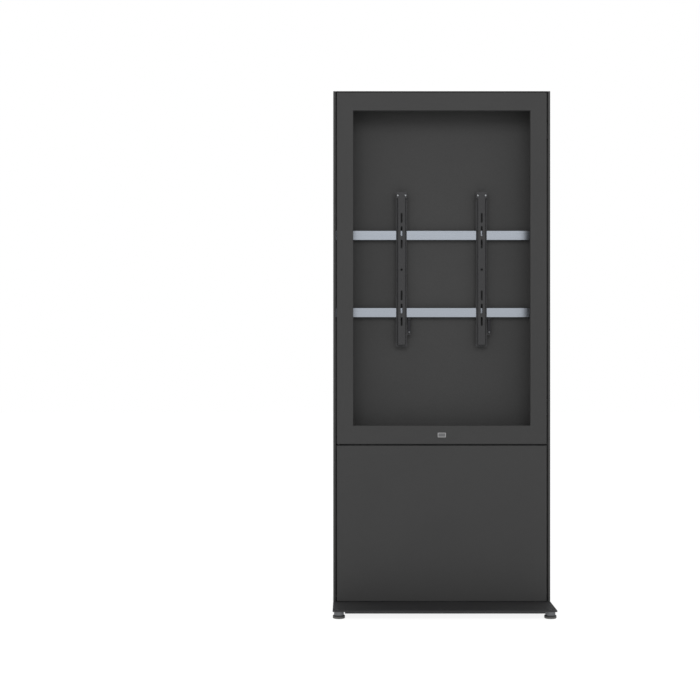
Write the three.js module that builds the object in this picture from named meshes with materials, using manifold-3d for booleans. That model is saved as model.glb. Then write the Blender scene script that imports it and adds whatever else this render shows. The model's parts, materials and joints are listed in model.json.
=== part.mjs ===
// Free-standing portrait display kiosk: a folded steel cabinet on a footed base plate,
// with a pivoted front frame, a lockable rear hatch and slotted mount arms on two rails.
// Millimetres, +Z up, origin on the floor under the middle of the base, front towards -Y.

import * as THREE from 'three';
import { mergeVertices } from 'three/addons/utils/BufferGeometryUtils.js';
import Module from 'manifold-3d';

const wasm = await Module();
wasm.setup();

// Fits shared by all pieces
const seatGap = 0.3;
const runningGap = 0.3;
const overrun = 4;
const bendFacets = 2;
const roundFacets = 20;

// Cabinet
const totalHeight = 1978;
const cabinetDepth = 108;
const casingSheet = 2;
const bendRadius = 2;
const casingFlange = 9.6;
const casingLip = 12;
const casingFootFlange = 22;
const topDrop = 15;
const seamHeight = 629;
const seamGap = 5;

// Front frame and lower front panel
const frontSheet = 2;
const frontReturn = 20;
const frontGap = 3.5;
const frameTopGap = 1.6;
const windowWidth = 676;
const windowBorder = 76;
const windowHeight = 1202;
const windowSill = 702.4;
const windowChamfer = 0.8;

// Back panel and rear hatch
const backSheet = 1.5;
const backReturn = 15;
const backRecess = 4;
const hatchReturn = 12;
const hatchRecess = 6;
const hatchSideGap = 2.5;
const hatchFootGap = 3.5;

// Crossbars behind the two seams
const crossbarHeight = 46;
const crossbarDepth = 18;
const crossbarLip = 9;
const strikeDrop = 11;
const strikeHeight = 46;
const strikeLeg = 12;
const swingClearance = 1.5;

// Base plate, beam and feet
const baseDepth = 444;
const basePlateThickness = 5;
const baseCornerRadius = 3;
const skirtDrop = 5.6;
const skirtThickness = 5;
const footInset = 23;
const bossRadius = 18.5;
const bossHeight = 15;
const bossChamfer = 0.8;
const notchClearance = 3.5;
const beamWidth = 78;
const beamGap = 7;
const anchorInset = 32;
const anchorHoleRadius = 4.5;
const studRadius = 6;
const studTopDrop = 0.4;
const socketAcross = 6;
const socketDepth = 6;
const padRadius = 22.5;
const padHeight = 11;
const padWall = 3;
const padFloor = 5;
const padRim = 2.5;
const padSole = 1.5;
const footTravelAtRest = 0.3;

// Rails and the brackets that carry them
const railHeight = 35;
const railPitch = 299.5;
const railTopCentre = 1435.5;
const railFaceDepth = 83.5;
const railPlate = 2.5;
const railBoxHeight = 19;
const railDepth = 15.5;
const railWall = 2;
const bracketSheet = 2.5;
const bracketHeight = 50;
const bracketReach = 40;
const bracketForward = 2;

// Mount arms
const armSpread = 310;
const armShift = 4.5;
const armAboveRail = 166.5;
const armBelowLatch = 55;
const armFaceDepth = 68.5;
const armSheet = 2.5;
const armFaceWidth = 27;
const armBackWidth = 37;
const armBend = 1.2;
const armEdgeWidth = 41;
const armFlangeWidth = 45;
const armTopFlange = 145;
const armMidFlange = 46;
const armFootFlange = 86;
const armTabWidth = 42;
const armTabHeight = 24;
const armFootLedge = 7;
const slotWidth = 7;
const slotCentreShares = [0.1676, 0.2525, 0.3358];
const slotLengths = [38, 38, 35];
const armHoleRadius = 4.5;
const armHoleShare = 0.5023;
const hookDrop = 7;
const hookSheet = 3;
const hookCrown = 9;
const hookClearance = 0.6;
const armScrewSpread = 30;
const armScrewDrop = 13.5;
const smallScrewShank = 2;
const smallScrewHead = 3.8;
const smallHeadHeight = 2.4;
const armScrewLength = 8;
const driveAcross = 2.5;
const driveDepth = 1.2;

// Anti-lift latch on each arm
const latchOffset = 30;
const latchWidth = 11;
const latchBelowRail = 59;
const latchShoulder = 47;
const latchSheet = 2.5;
const latchEarHeight = 20;
const latchEarSheet = 2.5;
const latchScrewShank = 2.5;
const latchScrewHead = 4.2;
const latchTipClearance = 1.5;

// Pivots of the front frame and of the hatch
const framePivotInset = 7.5;
const framePivotSetback = 6;
const pivotPinRadius = 2.5;
const pivotFlangeRadius = 4.5;
const pivotPinReach = 12;
const hatchPivotHeight = 11.5;
const hatchPivotSetback = 7;

// Magnetic catches on the closing side
const catchHeight = 60;
const catchDepth = 14;
const catchBlock = 24;
const catchInset = 140;
const catchPlate = 3;
const keeperSheet = 2;
const keeperWidth = 28;
const keeperDepth = 14;

// Badge
const badgeWidth = 31;
const badgeHeight = 17.5;
const badgeThickness = 1.2;
const badgeCorner = 1;

// Cam lock
const lockDrop = 21;
const lockHeadRadius = 11;
const lockHeadHeight = 2.8;
const lockBarrelRadius = 9;
const lockBarrelLength = 17;
const lockBoreRadius = 6.3;
const lockPlugFace = 0.6;
const lockNutAcross = 24;
const lockNutHeight = 4;
const keyWidth = 1.4;
const keyHeight = 7;
const keyDepth = 8;
const camLength = 32;
const camWidth = 12;
const camSheet = 2.5;
const camScrewRadius = 4;
const camScrewHeight = 2.5;
const camSpindleRadius = 3;

// Colours and finishes
const darkPowderCoat = new THREE.MeshStandardMaterial({ color: '#464648', roughness: 0.62, metalness: 0.1 });
const blackPowderCoat = new THREE.MeshStandardMaterial({
  color: '#3c3c3e',
  roughness: 0.55,
  metalness: 0.15,
});
const millAluminium = new THREE.MeshStandardMaterial({ color: '#a8b0bc', roughness: 0.4, metalness: 0.85 });
const zincSteel = new THREE.MeshStandardMaterial({ color: '#9a9c9e', roughness: 0.38, metalness: 0.9 });
const brightLock = new THREE.MeshStandardMaterial({ color: '#bdbfc2', roughness: 0.22, metalness: 1 });
const satinBadge = new THREE.MeshStandardMaterial({ color: '#909296', roughness: 0.35, metalness: 0.7 });
const footRubber = new THREE.MeshStandardMaterial({ color: '#2c2c2d', roughness: 0.85, metalness: 0 });

// Levels and planes worked out from the sizes above
const cabinetWidth = windowWidth + 2 * windowBorder;
const sideX = cabinetWidth / 2;
const innerX = sideX - casingSheet;
const frontY = -cabinetDepth / 2;
const rearY = cabinetDepth / 2;
const bossBottom = padHeight + footTravelAtRest;
const plateBottom = bossBottom + bossHeight;
const baseTop = plateBottom + basePlateThickness;
const frontEdgeX = sideX - casingFlange - frontGap;
const frameBottom = seamHeight + seamGap / 2;
const frameTop = totalHeight - casingSheet - frameTopGap;
const panelTop = seamHeight - seamGap / 2;
const panelBottom = baseTop + seatGap;
const frontReturnEnd = frontY + frontReturn;
const backFace = rearY - backRecess;
const hatchFace = rearY - hatchRecess;
const hatchBottom = baseTop + hatchFootGap;
const hatchTop = seamHeight - seamGap / 2;
const railFace = frontY + railFaceDepth;
const railBack = railFace + railDepth;
const railCentres = { upper: railTopCentre, lower: railTopCentre - railPitch };
const armFace = frontY + armFaceDepth;
const armBack = railFace - seatGap;
const armTop = railCentres.upper + armAboveRail;
const latchPivotZ = railCentres.lower - railHeight / 2 - latchBelowRail;
const armFoot = latchPivotZ - armBelowLatch;
const armLength = armTop - armFoot;
const lockHeight = seamHeight - lockDrop;

// Solids from three.js geometries, and meshes from solids
function solidFrom(geometry) {
  const bare = geometry.clone();
  bare.deleteAttribute('normal');
  bare.deleteAttribute('uv');
  const merged = mergeVertices(bare, 1e-5);
  return new wasm.Manifold(new wasm.Mesh({
    numProp: 3,
    vertProperties: new Float32Array(merged.attributes.position.array),
    triVerts: new Uint32Array(merged.index.array),
  }));
}

function meshFrom(name, solid, material) {
  const { vertProperties, triVerts } = solid.getMesh();
  const geometry = new THREE.BufferGeometry();
  geometry.setAttribute('position', new THREE.BufferAttribute(vertProperties, 3));
  geometry.setIndex(new THREE.BufferAttribute(triVerts, 1));
  const faceted = geometry.toNonIndexed();
  faceted.computeVertexNormals();
  const mesh = new THREE.Mesh(faceted, material);
  mesh.name = name;
  return mesh;
}

function joined(first, ...others) {
  return others.reduce((whole, other) => whole.add(other), first);
}

function cutBy(first, ...cutters) {
  return cutters.reduce((whole, cutter) => whole.subtract(cutter), first);
}

// A block between two corners
function block(x0, x1, y0, y1, z0, z1) {
  const box = new THREE.BoxGeometry(x1 - x0, y1 - y0, z1 - z0);
  box.translate((x0 + x1) / 2, (y0 + y1) / 2, (z0 + z1) / 2);
  return solidFrom(box);
}

// Which way a drawn section's right, up and length run, for each axis it is drawn out along
const sectionFrames = {
  x: [new THREE.Vector3(0, 1, 0), new THREE.Vector3(0, 0, 1), new THREE.Vector3(1, 0, 0)],
  y: [new THREE.Vector3(1, 0, 0), new THREE.Vector3(0, 0, 1), new THREE.Vector3(0, -1, 0)],
  z: [new THREE.Vector3(1, 0, 0), new THREE.Vector3(0, 1, 0), new THREE.Vector3(0, 0, 1)],
};

// A section drawn out along one axis from one place to another. Along x the section is drawn
// in y and z, along y in x and z, and along z in x and y.
function drawnOut(axis, shape, from, to, options = {}) {
  const [right, up, along] = sectionFrames[axis];
  const geometry = new THREE.ExtrudeGeometry(shape, {
    depth: to - from,
    bevelEnabled: false,
    curveSegments: bendFacets,
    ...options,
  });
  const start = axis === 'y' ? to : from;
  const place = new THREE.Matrix4().makeBasis(right, up, along);
  geometry.applyMatrix4(place);
  geometry.translate(
    axis === 'x' ? start : 0,
    axis === 'y' ? start : 0,
    axis === 'z' ? start : 0,
  );
  return solidFrom(geometry);
}

// A closed outline through corners given as [x, y] or [x, y, radius]
function roundedOutline(corners) {
  const outline = new THREE.Shape();
  const count = corners.length;
  corners.forEach(([x, y, radius = 0], i) => {
    const here = new THREE.Vector2(x, y);
    const before = new THREE.Vector2(...corners[(i + count - 1) % count].slice(0, 2));
    const after = new THREE.Vector2(...corners[(i + 1) % count].slice(0, 2));
    const arriving = here.clone().sub(before).normalize();
    const leaving = after.clone().sub(here).normalize();
    const turn = Math.atan2(arriving.cross(leaving), arriving.dot(leaving));
    const reach = radius * Math.tan(Math.abs(turn) / 2);
    const start = here.clone().addScaledVector(arriving, -reach);
    if (i === 0) {
      outline.moveTo(start.x, start.y);
    } else {
      outline.lineTo(start.x, start.y);
    }
    if (reach > 0) {
      const side = Math.sign(turn);
      const sideways = new THREE.Vector2(-arriving.y, arriving.x);
      const centre = start.clone().addScaledVector(sideways, side * radius);
      const startAngle = Math.atan2(start.y - centre.y, start.x - centre.x);
      outline.absarc(centre.x, centre.y, radius, startAngle, startAngle + turn, turn < 0);
    }
  });
  outline.closePath();
  return outline;
}

function rectangle(width, height, radius = 0) {
  const x = width / 2;
  const y = height / 2;
  return roundedOutline([[-x, -y, radius], [x, -y, radius], [x, y, radius], [-x, y, radius]]);
}

// The section of a folded sheet. The path is one face of the sheet, drawn with the metal on its
// left, and each fold is rounded on both faces. On the side -1 the section is mirrored in x.
function foldedSheet(path, thickness, bend, side = 1) {
  const face = path.map(([x, y]) => new THREE.Vector2(x, y));
  const directions = face.slice(1).map((point, i) => point.clone().sub(face[i]).normalize());
  const normals = directions.map(({ x, y }) => new THREE.Vector2(-y, x));
  const front = [];
  const back = [];
  face.forEach((point, i) => {
    const arriving = normals[Math.max(i - 1, 0)];
    const leaving = normals[Math.min(i, normals.length - 1)];
    const middle = arriving.clone().add(leaving);
    const offset = middle.multiplyScalar(thickness / (1 + arriving.dot(leaving)));
    const turn = arriving.cross(leaving);
    const outer = turn === 0 ? 0 : bend + thickness;
    const inner = turn === 0 ? 0 : bend;
    front.push([point.x, point.y, turn > 0 ? outer : inner]);
    back.push([point.x + offset.x, point.y + offset.y, turn > 0 ? inner : outer]);
  });
  const corners = [...front, ...back.reverse()];
  if (side > 0) {
    return roundedOutline(corners);
  }
  return roundedOutline(corners.map(([x, y, radius]) => [-x, y, radius]).reverse());
}

// A rod with its axis along x, y or z, between two places on that axis
function rod(axis, radius, from, to, across, up, facets = roundFacets) {
  const cylinder = new THREE.CylinderGeometry(radius, radius, to - from, facets);
  cylinder.translate(0, (from + to) / 2, 0);
  if (axis === 'x') {
    cylinder.rotateZ(-Math.PI / 2);
    cylinder.translate(0, across, up);
  } else if (axis === 'y') {
    cylinder.translate(across, 0, up);
  } else {
    cylinder.rotateX(Math.PI / 2);
    cylinder.translate(across, up, 0);
  }
  return solidFrom(cylinder);
}

// A six-sided prism, such as a nut or a key socket, by its width across flats
function hexRod(axis, acrossFlats, from, to, across, up) {
  return rod(axis, acrossFlats / Math.sqrt(3), from, to, across, up, 6);
}

// A turned piece on a vertical axis, from its half profile
function turned(profile, x, y) {
  const lathe = new THREE.LatheGeometry(profile, roundFacets);
  lathe.rotateX(Math.PI / 2);
  lathe.translate(x, y, 0);
  return solidFrom(lathe);
}

// An upright slot with round ends, cut along y
function uprightSlot(width, length, x, y0, y1, z) {
  const radius = width / 2;
  const straight = length / 2 - radius;
  const slot = new THREE.Shape();
  slot.absarc(x, z + straight, radius, 0, Math.PI);
  slot.absarc(x, z - straight, radius, Math.PI, 2 * Math.PI);
  return drawnOut('y', slot, y0, y1, { curveSegments: 4 });
}

// A folded panel like a shallow tray: a flat face looking to the front (-1) or the back (+1),
// with rounded folds and a return on all four sides
function tray({ halfWidth, bottom, top, face, facing, depth, thickness }) {
  const shellOf = (inset, edge, setback) => {
    const width = 2 * (halfWidth - inset - edge);
    const height = top - bottom - 2 * (inset + edge);
    const length = depth + overrun;
    const near = facing < 0 ? face + setback + edge : face - setback - edge - length;
    const shell = drawnOut('y', rectangle(width, height), near, near + length, {
      bevelEnabled: true,
      bevelSize: edge,
      bevelThickness: edge,
      bevelSegments: 3,
    });
    return shell.translate([0, 0, (bottom + top) / 2]);
  };
  const outer = shellOf(0, bendRadius + thickness, 0);
  const hollow = shellOf(thickness, bendRadius, thickness);
  const cutReach = 2 * (depth + overrun + bendRadius + thickness);
  const returnEnd = face - facing * depth;
  const beyond = block(
    -halfWidth - overrun,
    halfWidth + overrun,
    facing < 0 ? returnEnd : returnEnd - cutReach,
    facing < 0 ? returnEnd + cutReach : returnEnd,
    bottom - overrun,
    top + overrun,
  );
  return cutBy(outer, hollow, beyond);
}

const kiosk = new THREE.Group();

function place(name, solid, material) {
  kiosk.add(meshFrom(name, solid, material));
}

const sides = { left: -1, right: 1 };

// Feet: where each one stands
const footX = sideX - footInset;
const footY = baseDepth / 2 - footInset;
const footPlaces = {
  front_left: [-footX, -footY],
  front_right: [footX, -footY],
  middle_left: [-footX, 0],
  middle_right: [footX, 0],
  rear_left: [-footX, footY],
  rear_right: [footX, footY],
};
const studHoleRadius = studRadius + runningGap;
const notchRadius = bossRadius + notchClearance;

// Base plate: one thick plate with a low skirt, which is open round every foot
function basePlate() {
  const outline = rectangle(cabinetWidth, baseDepth, baseCornerRadius);
  const skirtBottom = plateBottom - skirtDrop;
  const slab = drawnOut('z', outline, skirtBottom, baseTop);
  const hollowX = sideX - skirtThickness;
  const hollowY = baseDepth / 2 - skirtThickness;
  const hollow = block(-hollowX, hollowX, -hollowY, hollowY, skirtBottom - overrun, plateBottom);
  const notches = Object.values(footPlaces).map(([x, y]) => {
    const outX = x + Math.sign(x) * (footInset + overrun);
    const outY = y + Math.sign(y) * (footInset + overrun);
    const halfMiddle = beamWidth / 2 + beamGap;
    return block(
      Math.min(x - notchRadius, outX),
      Math.max(x + notchRadius, outX),
      y === 0 ? -halfMiddle : Math.min(y - notchRadius, outY),
      y === 0 ? halfMiddle : Math.max(y + notchRadius, outY),
      skirtBottom - overrun,
      plateBottom,
    );
  });
  const studHoles = Object.values(footPlaces).map(([x, y]) => (
    rod('z', studHoleRadius, plateBottom - overrun, baseTop + overrun, x, y)
  ));
  const anchorY = baseDepth / 2 - anchorInset;
  const anchorHoles = [-anchorY, anchorY].map((y) => (
    rod('z', anchorHoleRadius, plateBottom - overrun, baseTop + overrun, 0, y)
  ));
  return cutBy(slab, hollow, ...notches, ...studHoles, ...anchorHoles);
}
place('base_plate', basePlate(), darkPowderCoat);

// Beam under the cabinet, forked at both ends round the middle feet
function footBeam() {
  const top = plateBottom - seatGap;
  const bottom = plateBottom - skirtDrop;
  const bar = block(-sideX, sideX, -beamWidth / 2, beamWidth / 2, bottom, top);
  const forks = [-1, 1].map((side) => {
    const round = rod('z', notchRadius, bottom - overrun, top + overrun, side * footX, 0);
    const outside = side * (sideX + overrun);
    const mouth = block(
      Math.min(side * footX, outside),
      Math.max(side * footX, outside),
      -notchRadius,
      notchRadius,
      bottom - overrun,
      top + overrun,
    );
    return round.add(mouth);
  });
  return cutBy(bar, ...forks);
}
place('foot_beam', footBeam(), darkPowderCoat);

// One foot: a threaded boss under the plate, and a socketed stud in a rubber pad
function footBoss(x, y) {
  const top = plateBottom - seatGap;
  const bore = studHoleRadius;
  const profile = [
    new THREE.Vector2(bore, bossBottom),
    new THREE.Vector2(bossRadius - bossChamfer, bossBottom),
    new THREE.Vector2(bossRadius, bossBottom + bossChamfer),
    new THREE.Vector2(bossRadius, top - bossChamfer),
    new THREE.Vector2(bossRadius - bossChamfer, top),
    new THREE.Vector2(bore, top),
    new THREE.Vector2(bore, bossBottom),
  ];
  return turned(profile, x, y);
}

const discRadius = padRadius - padWall - runningGap;

function footStud(x, y) {
  const discBottom = padFloor + seatGap;
  const studTop = baseTop - studTopDrop;
  const profile = [
    new THREE.Vector2(0, discBottom),
    new THREE.Vector2(discRadius, discBottom),
    new THREE.Vector2(discRadius, padHeight - padRim / 2),
    new THREE.Vector2(discRadius - padRim, padHeight),
    new THREE.Vector2(studRadius, padHeight),
    new THREE.Vector2(studRadius, studTop - bossChamfer),
    new THREE.Vector2(studRadius - bossChamfer, studTop),
    new THREE.Vector2(0, studTop),
  ];
  const socket = hexRod('z', socketAcross, studTop - socketDepth, studTop + overrun, x, y);
  return turned(profile, x, y).subtract(socket);
}

function footPad(x, y) {
  const rimCentre = new THREE.Vector2(padRadius - padRim, padHeight - padRim);
  const rim = [0, 1, 2, 3, 4].map((step) => {
    const angle = (step / 4) * (Math.PI / 2);
    return new THREE.Vector2(
      rimCentre.x + padRim * Math.cos(angle),
      rimCentre.y + padRim * Math.sin(angle),
    );
  });
  const profile = [
    new THREE.Vector2(0, 0),
    new THREE.Vector2(padRadius - padSole, 0),
    new THREE.Vector2(padRadius, padSole),
    ...rim,
    new THREE.Vector2(padRadius - padWall, padHeight - padRim / 2),
    new THREE.Vector2(padRadius - padWall, padFloor),
    new THREE.Vector2(0, padFloor),
  ];
  return turned(profile, x, y);
}

for (const [corner, [x, y]] of Object.entries(footPlaces)) {
  place(`foot_boss_${corner}`, footBoss(x, y), zincSteel);
  place(`foot_stud_${corner}`, footStud(x, y), zincSteel);
  place(`foot_pad_${corner}`, footPad(x, y), footRubber);
}

// Side panels: one folded sheet each, with a front flange and lip and a foot flange
function sidePanel(side) {
  const lipX = sideX - casingFlange;
  const section = foldedSheet(
    [[lipX, frontY + casingLip], [lipX, frontY], [sideX, frontY], [sideX, rearY]],
    casingSheet,
    bendRadius,
    side,
  );
  const wall = drawnOut('z', section, baseTop + seatGap, totalHeight);
  const inset = bendRadius + casingSheet;
  const footSection = foldedSheet(
    [
      [sideX - casingFootFlange, baseTop + seatGap],
      [sideX, baseTop + seatGap],
      [sideX, baseTop + casingFootFlange],
    ],
    casingSheet,
    bendRadius,
    side,
  );
  const foot = drawnOut('y', footSection, frontReturnEnd + inset, hatchFace - hatchReturn - inset);
  return wall.add(foot);
}

const topPanelX = innerX - seatGap;

// Top panel: a flat sheet with its ends turned down against the side panels
function topPanel() {
  const section = foldedSheet(
    [
      [topPanelX, totalHeight - topDrop],
      [topPanelX, totalHeight],
      [-topPanelX, totalHeight],
      [-topPanelX, totalHeight - topDrop],
    ],
    casingSheet,
    bendRadius,
  );
  const behindLip = frontY + casingLip + seatGap;
  const beforeBack = backFace - backReturn - seatGap;
  const main = drawnOut('y', section, behindLip, beforeBack);
  const underside = totalHeight - casingSheet;
  const frontX = sideX - casingFlange - seatGap;
  const frontTongue = block(-frontX, frontX, frontY, behindLip + casingSheet, underside, totalHeight);
  const rearX = topPanelX - bendRadius;
  const rearTongue = block(-rearX, rearX, beforeBack - casingSheet, rearY, underside, totalHeight);
  return joined(main, frontTongue, rearTongue);
}

place('side_panel_left', sidePanel(-1), darkPowderCoat);
place('side_panel_right', sidePanel(1), darkPowderCoat);
place('top_panel', topPanel(), darkPowderCoat);

// Back panel above the seam, with its returns forward
place('back_panel', tray({
  halfWidth: innerX - seatGap,
  bottom: seamHeight + seamGap / 2,
  top: totalHeight - casingSheet - seatGap,
  face: backFace,
  facing: 1,
  depth: backReturn,
  thickness: backSheet,
}), darkPowderCoat);

// Lower front panel, fixed between the side flanges
place('lower_front_panel', tray({
  halfWidth: frontEdgeX,
  bottom: panelBottom,
  top: panelTop,
  face: frontY,
  facing: -1,
  depth: frontReturn,
  thickness: frontSheet,
}), darkPowderCoat);

const framePivotX = -frontEdgeX + framePivotInset;
const framePivotY = frontY + framePivotSetback;

// Front crossbar: a lipped channel behind the front seam, with its flat side forward and a notch
// at its left end that the front frame's corner swings through
function frontCrossbar() {
  const face = frontReturnEnd + seatGap;
  const back = face + crossbarDepth;
  const bottom = seamHeight - crossbarHeight / 2;
  const top = seamHeight + crossbarHeight / 2;
  const section = foldedSheet(
    [
      [back, top - crossbarLip],
      [back, top],
      [face, top],
      [face, bottom],
      [back, bottom],
      [back, bottom + crossbarLip],
    ],
    casingSheet,
    bendRadius,
  );
  const channel = drawnOut('x', section, -innerX + seatGap, innerX - seatGap);
  const sweep = Math.hypot(framePivotInset, frontReturn - framePivotSetback);
  const notch = block(
    -sideX,
    framePivotX + sweep + swingClearance,
    frontY,
    framePivotY + sweep + swingClearance,
    panelTop,
    top + overrun,
  );
  return channel.subtract(notch);
}
place('front_crossbar', frontCrossbar(), blackPowderCoat);

// Rear crossbar: an angle behind the back seam, whose lower edge is the lock's strike. Its upper
// leg lies in the back panel, between that panel's side returns.
function rearCrossbar() {
  const back = backFace - backReturn - seatGap;
  const face = back - casingSheet;
  const bottom = seamHeight - strikeDrop;
  const top = bottom + strikeHeight;
  const section = foldedSheet(
    [[face + strikeLeg, top], [face, top], [face, bottom]],
    casingSheet,
    bendRadius,
  );
  const endX = innerX - seatGap;
  const legX = endX - backSheet - seatGap;
  const angle = drawnOut('x', section, -endX, endX);
  const notches = [-1, 1].map((side) => block(
    Math.min(side * legX, side * sideX),
    Math.max(side * legX, side * sideX),
    back,
    rearY,
    bottom,
    top + overrun,
  ));
  return cutBy(angle, ...notches);
}
place('rear_crossbar', rearCrossbar(), blackPowderCoat);

// Rails: an extruded profile, a flat face with a lip above and below its hollow box
const bracketX = innerX - seatGap - backSheet - seatGap;
const railX = bracketX - bracketSheet - bendRadius;

function rail(centre) {
  const half = railHeight / 2;
  const boxHalf = railBoxHeight / 2;
  const plateBack = railFace + railPlate;
  const profile = roundedOutline([
    [railFace, centre - half],
    [plateBack, centre - half],
    [plateBack, centre - boxHalf],
    [railBack, centre - boxHalf],
    [railBack, centre + boxHalf],
    [plateBack, centre + boxHalf],
    [plateBack, centre + half],
    [railFace, centre + half],
  ]);
  const hollow = block(
    -sideX,
    sideX,
    plateBack,
    railBack - railWall,
    centre - boxHalf + railWall,
    centre + boxHalf - railWall,
  );
  return drawnOut('x', profile, -railX, railX).subtract(hollow);
}

// Rail brackets: an angle in each corner of the back panel, with one leg behind the rail's end
function railBracket(side, centre) {
  const legBack = railBack + seatGap + bracketSheet;
  const section = foldedSheet(
    [
      [bracketX, railFace - bracketForward],
      [bracketX, legBack],
      [bracketX - bracketReach, legBack],
    ],
    bracketSheet,
    bendRadius,
    side,
  );
  return drawnOut('z', section, centre - bracketHeight / 2, centre + bracketHeight / 2);
}

for (const [level, centre] of Object.entries(railCentres)) {
  place(`rail_${level}`, rail(centre), millAluminium);
  for (const [sideName, side] of Object.entries(sides)) {
    place(`rail_bracket_${level}_${sideName}`, railBracket(side, centre), blackPowderCoat);
  }
}

// Front frame: a tray with a returned window, and pivot holes at its left edge
function frontFrame() {
  const shell = tray({
    halfWidth: frontEdgeX,
    bottom: frameBottom,
    top: frameTop,
    face: frontY,
    facing: -1,
    depth: frontReturn,
    thickness: frontSheet,
  });
  const x = windowWidth / 2;
  const sill = windowSill;
  const head = windowSill + windowHeight;
  const surround = block(
    -x - frontSheet,
    x + frontSheet,
    frontY + frontSheet / 2,
    frontReturnEnd,
    sill - frontSheet,
    head + frontSheet,
  );
  const hole = block(-x, x, frontY - overrun, frontReturnEnd + overrun, sill, head);
  const chamfer = drawnOut('y', rectangle(windowWidth, windowHeight), frontY, frontY + overrun, {
    bevelEnabled: true,
    bevelSize: windowChamfer,
    bevelThickness: windowChamfer,
    bevelSegments: 1,
  }).translate([0, -overrun, (sill + head) / 2]);
  const pivotHole = rod(
    'z',
    pivotPinRadius + runningGap,
    frameBottom - overrun,
    frameTop + overrun,
    framePivotX,
    framePivotY,
  );
  return cutBy(shell.add(surround), hole, chamfer, pivotHole);
}
place('front_frame', frontFrame(), darkPowderCoat);

// Frame pivots: flanged pins, one hanging from the top panel and one on the lower panel
function framePivot(seat, flangeEnd, reach) {
  const flange = rod(
    'z',
    pivotFlangeRadius,
    Math.min(seat, flangeEnd),
    Math.max(seat, flangeEnd),
    framePivotX,
    framePivotY,
  );
  const pin = rod(
    'z',
    pivotPinRadius,
    Math.min(seat, reach),
    Math.max(seat, reach),
    framePivotX,
    framePivotY,
  );
  return flange.add(pin);
}
place('frame_pivot_upper', framePivot(
  totalHeight - casingSheet - seatGap,
  frameTop + runningGap,
  frameTop - pivotPinReach,
), zincSteel);
place('frame_pivot_lower', framePivot(
  panelTop + seatGap,
  frameBottom - runningGap,
  frameBottom + pivotPinReach,
), zincSteel);

// Badge: a small bare plate under the window
function badge() {
  const outline = rectangle(badgeWidth, badgeHeight, badgeCorner);
  const back = frontY - seatGap;
  const plate = drawnOut('y', outline, back - badgeThickness, back);
  return plate.translate([0, 0, (windowSill + frameBottom) / 2]);
}
place('badge', badge(), satinBadge);

// Magnetic catches on the right side panel, and their keepers in the front frame
const catchCentres = {
  lower: frameBottom + catchInset,
  upper: frameTop - catchInset,
};
const keeperOutside = frontEdgeX - frontSheet - seatGap;
const keeperBack = frontReturnEnd - seatGap;

function magneticCatch(centre) {
  const face = frontReturnEnd + runningGap;
  const outside = innerX - seatGap;
  const half = catchHeight / 2;
  const blockRight = keeperOutside - keeperWidth / 2 + catchBlock / 2;
  const magnet = block(
    blockRight - catchBlock,
    blockRight,
    face,
    face + catchDepth,
    centre - half / 2,
    centre + half / 2,
  );
  const section = foldedSheet(
    [
      [blockRight - catchBlock, face + catchDepth - catchPlate / 2],
      [outside, face + catchDepth - catchPlate / 2],
      [outside, face + catchDepth * 2],
    ],
    catchPlate,
    bendRadius,
  );
  const plate = drawnOut('z', section, centre - half, centre + half);
  return magnet.add(plate);
}

function catchKeeper(centre) {
  const half = catchHeight / 2;
  const section = foldedSheet(
    [
      [keeperOutside, keeperBack - keeperDepth],
      [keeperOutside, keeperBack],
      [keeperOutside - keeperWidth, keeperBack],
    ],
    keeperSheet,
    bendRadius,
  );
  return drawnOut('z', section, centre - half, centre + half);
}

for (const [level, centre] of Object.entries(catchCentres)) {
  place(`magnetic_catch_${level}`, magneticCatch(centre), zincSteel);
  place(`catch_keeper_${level}`, catchKeeper(centre), zincSteel);
}

// Rear hatch: a tray with pivot holes low in its side returns and a hole for the lock
const hatchX = innerX - hatchSideGap;
const hatchPivotZ = baseTop + hatchPivotHeight;
const hatchPivotY = hatchFace - hatchPivotSetback;

function rearHatch() {
  const shell = tray({
    halfWidth: hatchX,
    bottom: hatchBottom,
    top: hatchTop,
    face: hatchFace,
    facing: 1,
    depth: hatchReturn,
    thickness: backSheet,
  });
  const pivotHole = rod(
    'x',
    pivotPinRadius + runningGap,
    -sideX,
    sideX,
    hatchPivotY,
    hatchPivotZ,
  );
  const lockHole = rod(
    'y',
    lockBarrelRadius + runningGap,
    hatchFace - hatchReturn,
    rearY,
    0,
    lockHeight,
  );
  return cutBy(shell, pivotHole, lockHole);
}
place('rear_hatch', rearHatch(), darkPowderCoat);

// Hatch pivots: flanged pins on the side panels
for (const [sideName, side] of Object.entries(sides)) {
  const root = side * (innerX - seatGap);
  const flangeEnd = side * (hatchX + runningGap);
  const tip = side * (hatchX - pivotPinReach);
  const flange = rod(
    'x',
    pivotFlangeRadius,
    Math.min(root, flangeEnd),
    Math.max(root, flangeEnd),
    hatchPivotY,
    hatchPivotZ,
  );
  const pin = rod('x', pivotPinRadius, Math.min(root, tip), Math.max(root, tip), hatchPivotY, hatchPivotZ);
  place(`hatch_pivot_${sideName}`, flange.add(pin), zincSteel);
}

// Cam lock: housing and nut on the hatch, and a turning plug with its cam and screw
const housingFront = hatchFace + seatGap;
const housingBack = hatchFace - lockBarrelLength;
const camBack = housingBack - runningGap;
const camFront = camBack - camSheet;

function lockHousing() {
  const head = rod('y', lockHeadRadius, housingFront, housingFront + lockHeadHeight, 0, lockHeight);
  const barrel = rod('y', lockBarrelRadius, housingBack, housingFront, 0, lockHeight);
  const bore = rod('y', lockBoreRadius, housingBack - overrun, rearY + overrun, 0, lockHeight);
  return head.add(barrel).subtract(bore);
}

function lockNut() {
  const back = hatchFace - backSheet - seatGap;
  const ring = hexRod('y', lockNutAcross, back - lockNutHeight, back, 0, lockHeight);
  const bore = rod('y', lockBarrelRadius + runningGap, back - lockNutHeight - overrun, rearY, 0, lockHeight);
  return ring.subtract(bore);
}

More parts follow.
